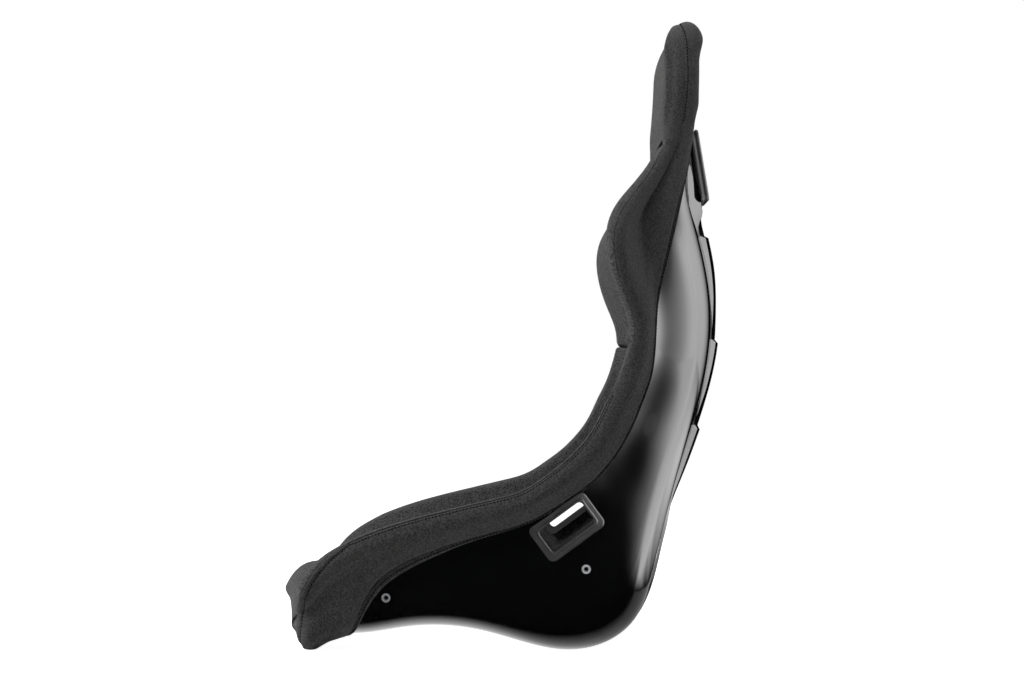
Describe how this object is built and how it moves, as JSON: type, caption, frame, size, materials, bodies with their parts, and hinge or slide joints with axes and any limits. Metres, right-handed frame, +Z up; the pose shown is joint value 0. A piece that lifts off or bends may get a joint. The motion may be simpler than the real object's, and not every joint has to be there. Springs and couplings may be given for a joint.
{
  "type": "racing seat",
  "caption": "Racing bucket seat: glossy shell of bonded panels with upholstered rim, bolsters and headrest, harness openings with trims, and threaded inserts for side mounts.",
  "frame": {"origin": "on the floor, at the middle of the seat's outline", "axes": "+Z up; the seat faces -Y; +X is the occupant's left"},
  "size_m": [0.5628, 0.6512, 0.936],
  "materials": {
    "gelcoat_shell": "high gloss black gel coat on glass fibre laminate",
    "side_cloth": "charcoal woven velour-like cloth with a fine light speckle",
    "cushion_cloth": "charcoal woven cloth, a little lighter and more speckled than the side cloth",
    "opening_trim": "moulded, fine satin",
    "plated_steel": "bright zinc plating"
  },
  "bodies": {
    "root": {"shell_floor": "gelcoat_shell", "shell_back": "gelcoat_shell", "shell_head": "gelcoat_shell", "shell_side_left": "gelcoat_shell", "shell_side_right": "gelcoat_shell", "cover_left": "side_cloth", "cover_right": "side_cloth", "cover_front": "side_cloth", "cover_head": "side_cloth", "hem_left": "side_cloth", "hem_right": "side_cloth", "bolster_left": "cushion_cloth", "bolster_right": "cushion_cloth", "wing_pad_left": "cushion_cloth", "wing_pad_right": "cushion_cloth", "head_pad": "cushion_cloth", "back_cushion": "cushion_cloth", "lumbar_cushion": "cushion_cloth", "seat_cushion": "cushion_cloth", "leg_cushion": "cushion_cloth", "lap_trim_left": "opening_trim", "lap_trim_right": "opening_trim", "lap_liner_left": "opening_trim", "lap_liner_right": "opening_trim", "shoulder_trim_left": "opening_trim", "shoulder_trim_right": "opening_trim", "shoulder_liner_left": "opening_trim", "shoulder_liner_right": "opening_trim", "crotch_trim": "opening_trim", "crotch_liner": "opening_trim", "insert_front_left": "plated_steel", "insert_rear_left": "plated_steel", "insert_front_right": "plated_steel", "insert_rear_right": "plated_steel"}
  },
  "joints": []
}
